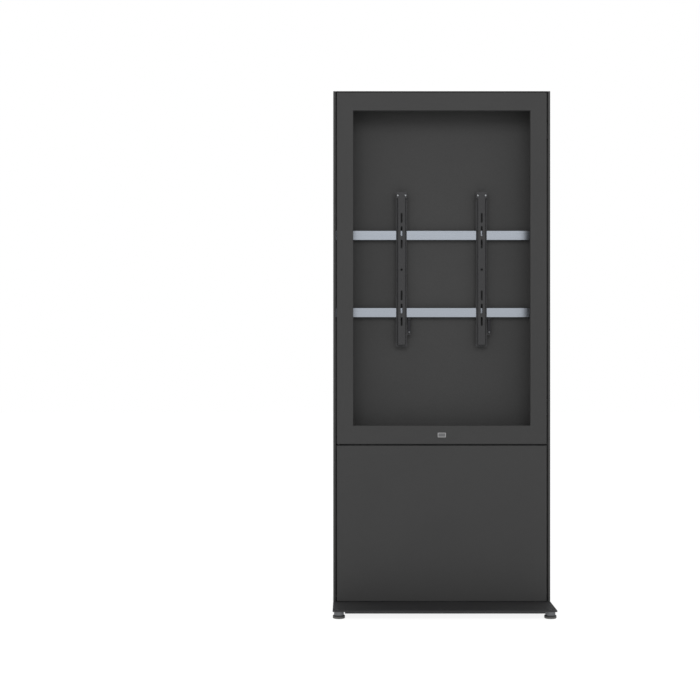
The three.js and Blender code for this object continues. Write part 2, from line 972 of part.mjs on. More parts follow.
function lockPlug() {
  const front = housingFront + lockHeadHeight - lockPlugFace;
  const barrel = rod('y', lockBoreRadius - runningGap, housingBack, front, 0, lockHeight);
  const spindle = rod('y', camSpindleRadius, camFront - camScrewHeight / 2, housingBack, 0, lockHeight);
  const keyway = block(
    -keyWidth / 2,
    keyWidth / 2,
    front - keyDepth,
    front + overrun,
    lockHeight - keyHeight / 2,
    lockHeight + keyHeight / 2,
  );
  return barrel.add(spindle).subtract(keyway);
}

function lockCam() {
  const radius = camWidth / 2;
  const outline = new THREE.Shape();
  outline.absarc(0, lockHeight, radius, Math.PI / 2, 3 * Math.PI / 2);
  outline.absarc(camLength - radius, lockHeight, radius, -Math.PI / 2, Math.PI / 2);
  const plate = drawnOut('y', outline, camFront, camBack, { curveSegments: 6 });
  const hole = rod('y', camSpindleRadius + runningGap, camFront - overrun, camBack + overrun, 0, lockHeight);
  return plate.subtract(hole);
}

function camScrew() {
  const back = camFront - runningGap;
  const head = rod('y', camScrewRadius, back - camScrewHeight, back, 0, lockHeight);
  const hole = rod(
    'y',
    camSpindleRadius + runningGap,
    camFront - camScrewHeight / 2 - runningGap,
    back + overrun,
    0,
    lockHeight,
  );
  return head.subtract(hole);
}

place('lock_housing', lockHousing(), brightLock);
place('lock_nut', lockNut(), zincSteel);
place('lock_plug', lockPlug(), brightLock);
place('lock_cam', lockCam(), zincSteel);
place('lock_cam_screw', camScrew(), zincSteel);

// Mount arms: a splayed channel with outward flanges, a closed foot, a flat tab at its top, slots,
// hooks over both rails and an ear for the latch
const latchBack = armBack - latchEarSheet - runningGap;
const latchFront = latchBack - latchSheet;

function armHook(centre) {
  const lipTop = centre + railHeight / 2;
  const hookFront = armFace + armSheet + armBend;
  const behindLip = railFace + railPlate + hookClearance;
  const hookBack = behindLip + hookSheet;
  return roundedOutline([
    [hookFront, lipTop + hookClearance],
    [behindLip, lipTop + hookClearance],
    [behindLip, lipTop - hookDrop],
    [hookBack, lipTop - hookDrop],
    [hookBack, lipTop + hookClearance + hookCrown, hookSheet],
    [hookFront, lipTop + hookClearance + hookCrown],
  ]);
}

function mountArm(x) {
  const faceHalf = armFaceWidth / 2;
  const backHalf = armBackWidth / 2;
  const corners = [[-backHalf, armBack], [-faceHalf, armFace], [faceHalf, armFace], [backHalf, armBack]];
  const section = foldedSheet(corners, armSheet, armBend);
  const behindArm = block(
    -armBackWidth,
    armBackWidth,
    armBack,
    railBack,
    armFoot - overrun,
    armTop + overrun,
  );
  const ledgeTop = armFoot + armFootLedge;
  const channel = drawnOut('z', section, ledgeTop, armTop).subtract(behindArm);
  const flangeBlock = (width, z0, z1) => cutBy(
    block(-width / 2, width / 2, armBack - armSheet, armBack, z0, z1),
    block(
      -backHalf + armSheet,
      backHalf - armSheet,
      armFace,
      armBack + overrun,
      z0 - overrun,
      z1 + overrun,
    ),
  );
  const lowerRailTop = railCentres.lower + railHeight / 2;
  const flanges = [
    flangeBlock(armEdgeWidth, ledgeTop, armTop),
    flangeBlock(armFlangeWidth, armTop - armTopFlange, armTop),
    flangeBlock(armFlangeWidth, lowerRailTop + hookClearance, lowerRailTop + armMidFlange),
    flangeBlock(armFlangeWidth, ledgeTop, armFoot + armFootFlange),
  ];
  const footEnd = drawnOut('z', roundedOutline(corners), ledgeTop, ledgeTop + armSheet);
  const ledge = block(
    -armFlangeWidth / 2,
    armFlangeWidth / 2,
    armBack - armSheet,
    armBack,
    armFoot,
    ledgeTop + armSheet,
  );
  const topTab = block(
    -armTabWidth / 2,
    armTabWidth / 2,
    armFace,
    armFace + armSheet,
    armTop - armTabHeight,
    armTop,
  );
  const hooks = Object.values(railCentres).flatMap((centre) => [-1, 1].map((side) => {
    const outer = side * backHalf;
    const inner = side * (backHalf - armSheet);
    return drawnOut('x', armHook(centre), Math.min(outer, inner), Math.max(outer, inner));
  }));
  const ear = block(
    backHalf - armSheet,
    latchOffset + latchWidth / 2,
    armBack - latchEarSheet,
    armBack,
    latchPivotZ - latchEarHeight / 2,
    latchPivotZ + latchEarHeight / 2,
  );
  const slots = [armTop, armTop - railPitch].flatMap((start) => slotCentreShares.map((share, i) => (
    uprightSlot(slotWidth, slotLengths[i], 0, armFace - overrun, armBack, start - share * armLength)
  )));
  const roundHole = rod(
    'y',
    armHoleRadius,
    armFace - overrun,
    armBack,
    0,
    armTop - armHoleShare * armLength,
  );
  const screwHoles = [-1, 1].map((side) => rod(
    'y',
    smallScrewShank + runningGap,
    armFace - overrun,
    armBack + overrun,
    side * armScrewSpread / 2,
    armTop - armScrewDrop,
  ));
  const earHole = rod(
    'y',
    latchScrewShank + runningGap,
    latchBack,
    armBack + overrun,
    latchOffset,
    latchPivotZ,
  );
  const whole = joined(channel, ...flanges, footEnd, ledge, topTab, ...hooks, ear);
  return cutBy(whole, ...slots, roundHole, ...screwHoles, earHole).translate([x, 0, 0]);
}

// A pan-head screw along y, with a hexagonal drive
function panScrew({ x, z, seat, head, shank, tip }) {
  const crown = seat - smallHeadHeight;
  const dome = new THREE.CylinderGeometry(head, head - driveDepth, smallHeadHeight, roundFacets);
  dome.translate(x, (seat + crown) / 2, z);
  const stem = rod('y', shank, seat - smallHeadHeight / 2, tip, x, z);
  const drive = hexRod('y', driveAcross, crown - overrun, crown + driveDepth, x, z);
  return solidFrom(dome).add(stem).subtract(drive);
}

// Anti-lift latch: a joggled tab on a screw, whose tip stands close under the lower rail's lip
function antiLiftLatch(x) {
  const shoulder = latchPivotZ + latchShoulder;
  const fingerBack = railFace + railPlate;
  const tip = railCentres.lower - railHeight / 2 - latchTipClearance;
  const section = foldedSheet(
    [
      [latchBack, latchPivotZ],
      [latchBack, shoulder - latchSheet],
      [fingerBack, shoulder - latchSheet],
      [fingerBack, tip],
    ],
    latchSheet,
    armBend,
  );
  const tab = drawnOut('x', section, -latchWidth / 2, latchWidth / 2);
  const roundEnd = rod('y', latchWidth / 2, latchFront, latchBack, 0, latchPivotZ);
  const hole = rod(
    'y',
    latchScrewShank + runningGap,
    latchFront - overrun,
    latchBack + overrun,
    0,
    latchPivotZ,
  );
  return tab.add(roundEnd).subtract(hole).translate([x + latchOffset, 0, 0]);
}

for (const [sideName, side] of Object.entries(sides)) {
  const x = armShift + side * armSpread / 2;
  place(`mount_arm_${sideName}`, mountArm(x), blackPowderCoat);
  for (const [screwName, screwSide] of [['a', -1], ['b', 1]]) {
    place(`arm_screw_${sideName}_${screwName}`, panScrew({
      x: x + screwSide * armScrewSpread / 2,
      z: armTop - armScrewDrop,
      seat: armFace - seatGap,
      head: smallScrewHead,
      shank: smallScrewShank,
      tip: armFace + armScrewLength,
    }), zincSteel);
  }
  place(`arm_latch_${sideName}`, antiLiftLatch(x), blackPowderCoat);
  place(`latch_screw_${sideName}`, panScrew({
    x: x + latchOffset,
    z: latchPivotZ,
    seat: latchFront - runningGap,
    head: latchScrewHead,
    shank: latchScrewShank,
    tip: armBack,
  }), zincSteel);
}

export default kiosk;
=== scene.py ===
import json
import math

import bmesh
import bpy
from mathutils import Matrix, Vector

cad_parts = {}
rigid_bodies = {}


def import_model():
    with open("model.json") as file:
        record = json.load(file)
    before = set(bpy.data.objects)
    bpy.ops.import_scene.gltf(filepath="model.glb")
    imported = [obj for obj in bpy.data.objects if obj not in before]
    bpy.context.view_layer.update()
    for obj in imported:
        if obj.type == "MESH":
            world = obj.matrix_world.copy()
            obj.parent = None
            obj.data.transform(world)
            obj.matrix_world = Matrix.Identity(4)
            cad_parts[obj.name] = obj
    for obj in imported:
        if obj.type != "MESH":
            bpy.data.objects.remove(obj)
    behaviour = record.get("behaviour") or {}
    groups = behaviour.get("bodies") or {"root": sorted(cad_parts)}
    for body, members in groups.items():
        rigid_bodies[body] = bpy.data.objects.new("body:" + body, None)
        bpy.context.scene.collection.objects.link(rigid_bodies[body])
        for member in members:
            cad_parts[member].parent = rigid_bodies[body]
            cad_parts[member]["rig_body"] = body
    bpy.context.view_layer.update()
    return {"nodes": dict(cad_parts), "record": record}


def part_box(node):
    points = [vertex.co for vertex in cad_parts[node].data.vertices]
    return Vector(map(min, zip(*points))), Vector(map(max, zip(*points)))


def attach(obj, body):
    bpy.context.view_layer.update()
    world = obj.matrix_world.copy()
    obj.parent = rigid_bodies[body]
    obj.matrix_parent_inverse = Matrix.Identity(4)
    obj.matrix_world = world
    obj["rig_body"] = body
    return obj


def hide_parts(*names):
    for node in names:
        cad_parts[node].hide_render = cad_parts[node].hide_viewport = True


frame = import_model()
record = frame["record"]
nodes = frame["nodes"]
bodyOf = {name: node["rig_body"] for name, node in nodes.items()}
slotOf = {part["node"]: part["material_slot"] for part in record["subparts"]}


# Small tools for materials

white = (1.0, 1.0, 1.0, 1.0)
noiseSpan = {"fine": (0.35, 0.65), "soft": (0.3, 0.7)}  # where most of a noise's values lie


def linearColour(hexCode):
    channels = [int(hexCode[start:start + 2], 16) / 255 for start in (1, 3, 5)]
    linear = [c / 12.92 if c <= 0.04045 else ((c + 0.055) / 1.055) ** 2.4 for c in channels]
    return (*linear, 1.0)


def addNode(tree, kind, settings=None, inputs=None):
    node = tree.nodes.new(kind)
    for name, value in (settings or {}).items():
        setattr(node, name, value)
    for socket, value in (inputs or {}).items():
        if isinstance(value, bpy.types.NodeSocket):
            tree.links.new(value, node.inputs[socket])
        else:
            node.inputs[socket].default_value = value
    return node


def startMaterial(name):
    material = bpy.data.materials.new(name)
    material.use_nodes = True
    material.node_tree.nodes.clear()
    return material, material.node_tree


def endMaterial(tree, shader):
    addNode(tree, "ShaderNodeOutputMaterial", inputs={"Surface": shader.outputs[0]})


# Powder coat on folded steel. It is sprayed dry and baked, so it has rounded grains, no brush
# marks and a soft, wide highlight. The grain of the real one is about 0.3 mm and is drawn
# coarser, so that it shows from a step away.

def powderCoat(name, look):
    material, tree = startMaterial(name)
    place = addNode(tree, "ShaderNodeTexCoord").outputs["Object"]
    spray = addNode(tree, "ShaderNodeTexNoise", inputs={
        "Vector": place, "Scale": 1 / look["grainSize"], "Detail": 2.0, "Roughness": 0.55,
    }).outputs["Fac"]
    grain = addNode(tree, "ShaderNodeMapRange", inputs={
        "Value": spray, "From Min": noiseSpan["fine"][0], "From Max": noiseSpan["fine"][1],
    }).outputs["Result"]
    cloud = addNode(tree, "ShaderNodeTexNoise", inputs={
        "Vector": place, "Scale": 1 / look["cloudSize"], "Detail": 3.0, "Roughness": 0.5,
    }).outputs["Fac"]
    grained = addNode(tree, "ShaderNodeMix", {"data_type": "RGBA"}, {
        "Factor": grain, "A": linearColour(look["hollow"]), "B": linearColour(look["peak"]),
    }).outputs["Result"]
    clouded = addNode(tree, "ShaderNodeMapRange", inputs={
        "Value": cloud, "From Min": noiseSpan["soft"][0], "From Max": noiseSpan["soft"][1],
        "To Min": 0.0, "To Max": look["cloudShare"],
    }).outputs["Result"]
    colour = addNode(tree, "ShaderNodeMix", {"data_type": "RGBA"}, {
        "Factor": clouded, "A": grained, "B": linearColour(look["cloud"]),
    }).outputs["Result"]
    sheen = addNode(tree, "ShaderNodeMapRange", inputs={
        "Value": cloud, "From Min": noiseSpan["soft"][0], "From Max": noiseSpan["soft"][1],
        "To Min": look["roughness"][0], "To Max": look["roughness"][1],
    }).outputs["Result"]
    relief = addNode(tree, "ShaderNodeBump", inputs={
        "Height": grain, "Strength": 0.6, "Distance": look["grainHeight"],
    }).outputs["Normal"]
    endMaterial(tree, addNode(tree, "ShaderNodeBsdfPrincipled", inputs={
        "Base Color": colour, "Roughness": sheen, "Normal": relief,
        "Specular IOR Level": look["specular"],
    }))
    return material


darkCoatLook = {
    "peak": "#464646", "hollow": "#3e3e3e", "cloud": "#484848", "cloudShare": 0.35,
    "grainSize": 0.0010, "grainHeight": 0.00024, "cloudSize": 0.22,
    "roughness": (0.70, 0.80), "specular": 0.08,
}
blackCoatLook = {
    "peak": "#424243", "hollow": "#3a3a3b", "cloud": "#434344", "cloudShare": 0.3,
    "grainSize": 0.0008, "grainHeight": 0.00015, "cloudSize": 0.08,
    "roughness": (0.66, 0.76), "specular": 0.14,
}
# Painted shade: two darker copies of the powder coat for the base plate and foot beam, the darkest
# for their level faces and a lighter one for their upright skirt
plateShadeCoatLook = {
    "peak": "#323233", "hollow": "#29292a", "cloud": "#353535", "cloudShare": 0.4,
    "grainSize": 0.0014, "grainHeight": 0.00030, "cloudSize": 0.16,
    "roughness": (0.60, 0.70), "specular": 0.10,
}
skirtShadeCoatLook = {
    "peak": "#3e3e3f", "hollow": "#353536", "cloud": "#404040", "cloudShare": 0.4,
    "grainSize": 0.0010, "grainHeight": 0.00024, "cloudSize": 0.16,
    "roughness": (0.62, 0.72), "specular": 0.10,
}


# Extruded and brushed aluminium. The die, or the brush, leaves fine lines along the length, which
# widen the highlight across them. The real lines are 0.1 mm apart or less, and are drawn 0.8 mm
# apart on the rails and 0.3 mm apart on the badge.

def extrudedAluminium(name, look):
    material, tree = startMaterial(name)
    place = addNode(tree, "ShaderNodeTexCoord").outputs["Object"]
    drawn = addNode(tree, "ShaderNodeMapping", {"vector_type": "POINT"}, {
        "Vector": place,
        "Scale": (1 / look["lineLength"], 1 / look["lineWidth"], 1 / look["lineWidth"]),
    }).outputs["Vector"]
    lines = addNode(tree, "ShaderNodeTexNoise", inputs={
        "Vector": drawn, "Scale": 1.0, "Detail": 3.0, "Roughness": 0.6,
    }).outputs["Fac"]
    colour = addNode(tree, "ShaderNodeMix", {"data_type": "RGBA"}, {
        "Factor": lines, "A": linearColour(look["dark"]), "B": linearColour(look["light"]),
    }).outputs["Result"]
    sheen = addNode(tree, "ShaderNodeMapRange", inputs={
        "Value": lines, "To Min": look["roughness"][0], "To Max": look["roughness"][1],
    }).outputs["Result"]
    relief = addNode(tree, "ShaderNodeBump", inputs={
        "Height": lines, "Strength": 0.35, "Distance": look["lineDepth"],
    }).outputs["Normal"]
    endMaterial(tree, addNode(tree, "ShaderNodeBsdfPrincipled", inputs={
        "Base Color": colour, "Metallic": 1.0, "Roughness": sheen, "Normal": relief,
    }))
    return material


railLook = {
    "dark": "#999fa7", "light": "#a6acb5", "lineLength": 0.35, "lineWidth": 0.0008,
    "lineDepth": 0.00002, "roughness": (0.24, 0.32),
}
badgeRimLook = {
    "dark": "#969697", "light": "#a8a8a9", "lineLength": 0.012, "lineWidth": 0.0003,
    "lineDepth": 0.00002, "roughness": (0.3, 0.42),
}
badgeFaceLook = {
    "dark": "#616162", "light": "#737374", "lineLength": 0.012, "lineWidth": 0.0003,
    "lineDepth": 0.00002, "roughness": (0.38, 0.5),
}


# Plated steel. Bright zinc goes on in a bath, so it is even, slightly cloudy and satin. Plated in
# a barrel it comes out duller and greyer, a black passivate makes it a dull dark grey, and nickel
# has a smoother, brighter face. The near-black, oily steel on the pivots, the arms' latches and in
# the keyway is also painted shade: they sit in the frame's seams, under the rails and in the plug's
# slot.

def platedSteel(name, look):
    material, tree = startMaterial(name)
    place = addNode(tree, "ShaderNodeTexCoord").outputs["Object"]
    cloud = addNode(tree, "ShaderNodeTexNoise", inputs={
        "Vector": place, "Scale": 1 / look["cloudSize"], "Detail": 4.0, "Roughness": 0.6,
    }).outputs["Fac"]
    scratch = addNode(tree, "ShaderNodeTexNoise", inputs={
        "Vector": place, "Scale": 1 / look["grainSize"], "Detail": 2.0, "Roughness": 0.5,
    }).outputs["Fac"]
    colour = addNode(tree, "ShaderNodeMix", {"data_type": "RGBA"}, {
        "Factor": cloud, "A": linearColour(look["dark"]), "B": linearColour(look["light"]),
    }).outputs["Result"]
    sheen = addNode(tree, "ShaderNodeMapRange", inputs={
        "Value": cloud, "From Min": noiseSpan["soft"][0], "From Max": noiseSpan["soft"][1],
        "To Min": look["roughness"][0], "To Max": look["roughness"][1],
    }).outputs["Result"]
    relief = addNode(tree, "ShaderNodeBump", inputs={
        "Height": scratch, "Strength": 0.25, "Distance": look["grainHeight"],
    }).outputs["Normal"]
    endMaterial(tree, addNode(tree, "ShaderNodeBsdfPrincipled", inputs={
        "Base Color": colour, "Metallic": 1.0, "Roughness": sheen, "Normal": relief,
    }))
    return material


zincLook = {
    "dark": "#8f9193", "light": "#a5a7aa", "cloudSize": 0.009, "grainSize": 0.0006,
    "grainHeight": 0.00003, "roughness": (0.34, 0.46),
}
dullZincLook = {
    "dark": "#626365", "light": "#747577", "cloudSize": 0.007, "grainSize": 0.0007,
    "grainHeight": 0.00005, "roughness": (0.5, 0.6),
}
shadeBlackSteelLook = {
    "dark": "#29292b", "light": "#353537", "cloudSize": 0.004, "grainSize": 0.0005,
    "grainHeight": 0.00002, "roughness": (0.42, 0.52),
}
blackZincLook = {
    "dark": "#58595b", "light": "#6a6b6d", "cloudSize": 0.006, "grainSize": 0.0006,
    "grainHeight": 0.00003, "roughness": (0.4, 0.5),
}
nickelLook = {
    "dark": "#b4b5b6", "light": "#c4c5c8", "cloudSize": 0.004, "grainSize": 0.0004,
    "grainHeight": 0.00001, "roughness": (0.16, 0.24),
}


# Moulded rubber and plastic: dull, with the fine spark texture of the mould. The rubber of the feet
# is painted paler just above the floor and darker higher up, a painted shade under the foot's boss.

def mouldedPolymer(name, look):
    material, tree = startMaterial(name)
    place = addNode(tree, "ShaderNodeTexCoord").outputs["Object"]
    grain = addNode(tree, "ShaderNodeTexNoise", inputs={
        "Vector": place, "Scale": 1 / look["grainSize"], "Detail": 3.0, "Roughness": 0.6,
    }).outputs["Fac"]
    grained = addNode(tree, "ShaderNodeMix", {"data_type": "RGBA"}, {
        "Factor": grain, "A": linearColour(look["hollow"]), "B": linearColour(look["peak"]),
    }).outputs["Result"]
    height = addNode(tree, "ShaderNodeSeparateXYZ", inputs={"Vector": place}).outputs["Z"]
    # Painted shade: paler towards the floor, darker higher up on the pad, under the boss
    paleTowardsFloor = addNode(tree, "ShaderNodeMapRange", inputs={
        "Value": height, "From Min": 0.0, "From Max": look["dustHeight"],
        "To Min": look["dustShare"], "To Max": 0.0,
    }).outputs["Result"]
    colour = addNode(tree, "ShaderNodeMix", {"data_type": "RGBA"}, {
        "Factor": paleTowardsFloor, "A": grained, "B": linearColour(look["dust"]),
    }).outputs["Result"]
    relief = addNode(tree, "ShaderNodeBump", inputs={
        "Height": grain, "Strength": 0.5, "Distance": look["grainHeight"],
    }).outputs["Normal"]
    endMaterial(tree, addNode(tree, "ShaderNodeBsdfPrincipled", inputs={
        "Base Color": colour, "Roughness": look["roughness"], "Normal": relief,
        "Specular IOR Level": look["specular"],
    }))
    return material


# The dark rubber above the pale band is painted shade under the boss
rubberLook = {
    "peak": "#303031", "hollow": "#262627", "dust": "#83827f", "dustHeight": 0.009,
    "dustShare": 0.75, "grainSize": 0.0007, "grainHeight": 0.00005, "roughness": 0.72,
    "specular": 0.5,
}
magnetCaseLook = {
    "peak": "#262627", "hollow": "#1e1e1f", "dust": "#262627", "dustHeight": 0.001,
    "dustShare": 0.0, "grainSize": 0.0006, "grainHeight": 0.00004, "roughness": 0.5,
    "specular": 0.5,
}

magnetCase = mouldedPolymer("mouldedNylonCase", magnetCaseLook)
badgeFace = extrudedAluminium("brushedBadgeFace", badgeFaceLook)
zincPlate = platedSteel("brightZincPlate", zincLook)
dullZincPlate = platedSteel("barrelPlatedZinc", dullZincLook)
blackZincPlate = platedSteel("blackPassivatedZinc", blackZincLook)
blackenedSteel = platedSteel("blackenedSteel", shadeBlackSteelLook)
plateShadeCoat = powderCoat("matteCoarsePowderCoat", plateShadeCoatLook)
skirtShadeCoat = powderCoat("matteSkirtPowderCoat", skirtShadeCoatLook)
finishOf = {
    "dark_powder_coat": powderCoat("darkTexturedPowderCoat", darkCoatLook),
    "black_powder_coat": powderCoat("satinBlackPowderCoat", blackCoatLook),
    "mill_aluminium": extrudedAluminium("extrudedAluminium", railLook),
    "zinc_steel": zincPlate,
    "bright_lock": platedSteel("polishedNickelPlate", nickelLook),
    "satin_badge": extrudedAluminium("brushedBadgeRim", badgeRimLook),
    "foot_rubber": mouldedPolymer("mouldedFootRubber", rubberLook),
}
print("materials made:", len(bpy.data.materials))


# Small tools for shapes

nearEnough = 0.00001  # metres, for a vertex that is looked up by its place
alongCosine = 0.99  # an edge with a greater cosine to an axis lies along it
angles = {
    "flat": math.radians(0.6),  # faces this close to one plane are one face
    "gentle": math.radians(40),  # for the low edges of the lock's head
    "smooth": math.radians(48),  # an edge below this is shaded smooth
    "sharp": math.radians(60),  # an edge above this is rounded
}


def camelName(nodeName):
    first, *others = nodeName.split("_")
    return first + "".join(word.capitalize() for word in others)


def centreOf(nodeName):
    low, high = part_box(nodeName)
    return (low + high) / 2


def bevelEdges(shape, edges, radius, segments):
    bmesh.ops.bevel(
        shape, geom=edges, offset=radius, offset_type="OFFSET", affect="EDGES",
        segments=segments, profile=0.5, material=-1, clamp_overlap=True,
    )


# Rounds the outward edges and leaves the inward ones

def roundEdges(shape, radius, angle=angles["sharp"], segments=2):
    outward = [
        edge for edge in shape.edges
        if len(edge.link_faces) == 2 and edge.calc_face_angle_signed() > angle
    ]
    bevelEdges(shape, outward, radius, segments)


def edgesAlong(shape, axis):
    direction = Vector(axis)
    return [
        edge for edge in shape.edges
        if abs((edge.verts[0].co - edge.verts[1].co).normalized().dot(direction)) > alongCosine
    ]


def blockBetween(low, high):
    shape = bmesh.new()
    middle = Matrix.Translation((low + high) / 2)
    bmesh.ops.create_cube(shape, size=1.0, matrix=middle @ Matrix.Diagonal((*(high - low), 1.0)))
    return shape


def addPiece(shape, pieceName, body, finishes):
    for face in shape.faces:
        face.smooth = True
    for edge in shape.edges:
        edge.smooth = len(edge.link_faces) == 2 and edge.calc_face_angle() < angles["smooth"]
    mesh = bpy.data.meshes.new(pieceName)
    shape.to_mesh(mesh)
    shape.free()
    for finish in finishes:
        mesh.materials.append(finish)
    piece = bpy.data.objects.new(pieceName, mesh)
    bpy.context.scene.collection.objects.link(piece)
    evened = piece.modifiers.new("evenShading", "WEIGHTED_NORMAL")
    evened.keep_sharp = True
    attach(piece, body)
    return piece


def standFor(shape, nodeName, finishes=()):
    slotName = slotOf[nodeName]
    finishes = finishes or [finishOf[slotName]]
    piece = addPiece(shape, camelName(nodeName), bodyOf[nodeName], finishes)
    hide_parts(nodeName)
    return piece


# A merged copy of a node, with its flat faces whole and its edges slightly rounded

def softenedCopy(nodeName, edgeRadius):
    shape = bmesh.new()
    shape.from_mesh(nodes[nodeName].data)
    bmesh.ops.remove_doubles(shape, verts=shape.verts, dist=nearEnough)
    bmesh.ops.dissolve_limit(
        shape, angle_limit=angles["flat"], verts=shape.verts, edges=shape.edges,
    )
    roundEdges(shape, edgeRadius)
    return shape


# A turned shape from a half profile of (radius, height) points, standing on +Z until it is laid

def turnedShape(profile, closed=False, steps=64):
    shape = bmesh.new()
    points = [shape.verts.new((radius, 0, height)) for radius, height in profile]
    edges = [shape.edges.new(pair) for pair in zip(points, points[1:])]
    if closed:
        edges.append(shape.edges.new((points[-1], points[0])))
    bmesh.ops.spin(
        shape, geom=points + edges, cent=(0, 0, 0), axis=(0, 0, 1), angle=2 * math.pi,
        steps=steps, use_merge=True,
    )
    bmesh.ops.remove_doubles(shape, verts=shape.verts, dist=nearEnough / 10)
    bmesh.ops.recalc_face_normals(shape, faces=shape.faces)
    return shape


# Turns the round socket of a turned shape into a hexagonal one

def makeSocketHexagonal(shape, acrossFlats, floorHeight):
    ringRadius = acrossFlats / math.sqrt(3)
    for vert in shape.verts:
        radius = math.hypot(vert.co.x, vert.co.y)
        if abs(radius - ringRadius) < nearEnough and vert.co.z > floorHeight - nearEnough:
            angle = math.atan2(vert.co.y, vert.co.x) % (math.pi / 3) - math.pi / 6
            share = acrossFlats / 2 / math.cos(angle) / radius
            vert.co.x *= share
            vert.co.y *= share


# A three-sided ridge, wound round the shank from low to high, with its foot sunk into the shank

thread = {"footShare": 0.45, "sunk": 0.0002}


def addThread(shape, rootRadius, crestRadius, pitch, low, high, stepsPerTurn=24):
    ridge = bmesh.new()
    halfFoot = pitch * thread["footShare"]
    footRadius = rootRadius - thread["sunk"]
    corners = [
        ridge.verts.new((footRadius, 0, low - halfFoot)),
        ridge.verts.new((crestRadius, 0, low)),
        ridge.verts.new((footRadius, 0, low + halfFoot)),
    ]
    edges = [ridge.edges.new((corners[i], corners[(i + 1) % 3])) for i in range(3)]
    steps = max(stepsPerTurn, round((high - low) / pitch * stepsPerTurn))
    bmesh.ops.spin(
        ridge, geom=corners + edges, cent=(0, 0, 0), axis=(0, 0, 1),
        dvec=(0, 0, pitch / stepsPerTurn), angle=steps * 2 * math.pi / stepsPerTurn, steps=steps,
    )
    bmesh.ops.holes_fill(ridge, edges=[edge for edge in ridge.edges if edge.is_boundary], sides=3)
    bmesh.ops.recalc_face_normals(ridge, faces=ridge.faces)
    mesh = bpy.data.meshes.new("threadRidge")
    ridge.to_mesh(mesh)
    ridge.free()
    shape.from_mesh(mesh)
    bpy.data.meshes.remove(mesh)


def layShape(shape, direction, place):
    turn = Vector((0, 0, 1)).rotation_difference(Vector(direction)).to_matrix().to_4x4()
    bmesh.ops.transform(shape, matrix=Matrix.Translation(place) @ turn, verts=shape.verts)


# Takes the cutter's shape out of the piece's mesh for good

def cutAway(piece, cutterShape):
    mesh = bpy.data.meshes.new("cutter")
    cutterShape.to_mesh(mesh)
    cutterShape.free()
    cutter = bpy.data.objects.new("cutter", mesh)
    bpy.context.scene.collection.objects.link(cutter)
    cut = piece.modifiers.new("cut", "BOOLEAN")
    cut.object = cutter
    cut.operation = "DIFFERENCE"
    piece.modifiers.move(piece.modifiers.find("cut"), 0)
    evenShading = piece.modifiers["evenShading"]
    evenShading.show_viewport = False
    graph = bpy.context.evaluated_depsgraph_get()
    piece.data = bpy.data.meshes.new_from_object(piece.evaluated_get(graph))
    piece.modifiers.remove(cut)
    evenShading.show_viewport = True
    bpy.data.objects.remove(cutter)
    bpy.data.meshes.remove(mesh)


# Sheet metal: folded panels, crossbars, brackets, arms, latches, the catches' keepers, and the
# lock's cam and nut

sheetMetal = {
    "edgeRadius": 0.00035,
    "nodes": [
        "side_panel_left", "side_panel_right", "top_panel", "back_panel",
        "lower_front_panel", "front_frame", "rear_hatch", "front_crossbar", "rear_crossbar",
        "rail_bracket_upper_left", "rail_bracket_upper_right",
        "rail_bracket_lower_left", "rail_bracket_lower_right",
        "mount_arm_left", "mount_arm_right",
        "catch_keeper_lower", "catch_keeper_upper", "lock_cam", "lock_nut",
    ],
    "darkNodes": ["arm_latch_left", "arm_latch_right"],
}
for nodeName in sheetMetal["nodes"]:
    standFor(softenedCopy(nodeName, sheetMetal["edgeRadius"]), nodeName)
# The arms' latches are near black: painted shade under the rails
for nodeName in sheetMetal["darkNodes"]:
    standFor(softenedCopy(nodeName, sheetMetal["edgeRadius"]), nodeName, [blackenedSteel])

# The base plate and foot beam carry a coarser powder, painted darker than the cabinet's as painted
# shade on their level faces, with a lighter copy on their upright skirt, painted as if lit more
# than the top

plateWork = {"edgeRadius": 0.0006, "skirtSlope": 0.5, "nodes": ["base_plate", "foot_beam"]}
for nodeName in plateWork["nodes"]:
    shape = softenedCopy(nodeName, plateWork["edgeRadius"])
    for face in shape.faces:
        # Upright faces take the lighter of the two painted-shade copies
        if abs(face.normal.z) < plateWork["skirtSlope"]:
            face.material_index = 1
    standFor(shape, nodeName, [plateShadeCoat, skirtShadeCoat])

rails = {"edgeRadius": 0.0003, "nodes": ["rail_upper", "rail_lower"]}
for nodeName in rails["nodes"]:
    standFor(softenedCopy(nodeName, rails["edgeRadius"]), nodeName)
print("sheet metal, plates and rails made")


# Badge: a bare plate with a narrow raised rim, brighter than its sunken face

badge = {
    "cornerRadius": 0.001, "cornerSegments": 5, "edgeRadius": 0.0002, "edgeSegments": 2,
    "rim": 0.0019, "recess": 0.0003,
}


def badgePlate():
    low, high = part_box("badge")
    shape = blockBetween(low, high)
    corners = edgesAlong(shape, (0, 1, 0))
    face = min(shape.faces, key=lambda face: face.calc_center_median().y)
    bmesh.ops.inset_region(shape, faces=[face], thickness=badge["rim"], use_even_offset=True)
    bmesh.ops.inset_region(
        shape, faces=[face], thickness=badge["recess"], depth=-badge["recess"],
        use_even_offset=True,
    )
    face.material_index = 1
    bevelEdges(shape, corners, badge["cornerRadius"], badge["cornerSegments"])
    outline = [
        edge for edge in shape.edges
        if edge.calc_face_angle() > angles["sharp"]
        and all(vert.co.y < low.y + nearEnough for vert in edge.verts)
    ]
    bevelEdges(shape, outline, badge["edgeRadius"], badge["edgeSegments"])
    return shape


standFor(badgePlate(), "badge", [finishOf["satin_badge"], badgeFace])


# Magnetic catches: a zinc bracket with the magnet's moulded case on its front

catches = {"edgeRadius": 0.0004, "caseDepth": 0.0123}
for nodeName in ("magnetic_catch_lower", "magnetic_catch_upper"):
    shape = softenedCopy(nodeName, catches["edgeRadius"])
    low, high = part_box(nodeName)
    for face in shape.faces:
        if face.calc_center_median().y < low.y + catches["caseDepth"]:
            face.material_index = 1
    standFor(shape, nodeName, [zincPlate, magnetCase])
print("badge and catches made")


# Feet: bosses, threaded studs with a key socket, and rubber pads

